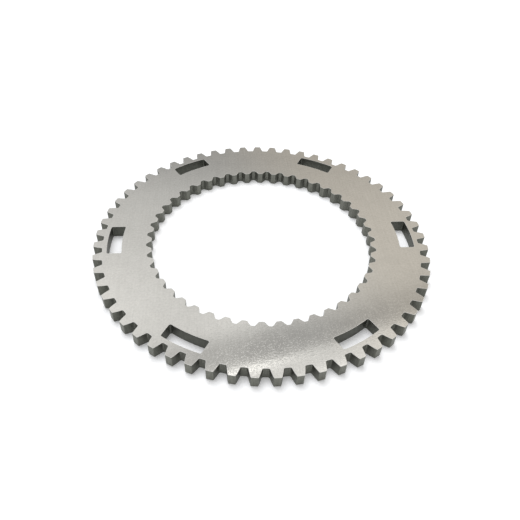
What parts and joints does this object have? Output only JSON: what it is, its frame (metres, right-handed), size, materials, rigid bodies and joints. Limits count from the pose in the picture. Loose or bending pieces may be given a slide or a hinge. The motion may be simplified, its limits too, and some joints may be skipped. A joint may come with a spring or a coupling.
{
  "type": "transmission ring gear",
  "caption": "Flat steel ring with straight gear teeth round its outside, a splined bore and long curved windows through its rim.",
  "frame": {"origin": "middle of the bore, on the face that the ring rests on", "axes": "+Z along the ring's axis, out of the face that shows; +X through the middle of one window"},
  "size_m": [0.205, 0.205, 0.0079],
  "materials": {
    "ground_steel": "satin ground faces with darker cut walls, unpainted"
  },
  "bodies": {
    "root": {"ring_gear": "ground_steel"}
  },
  "joints": []
}
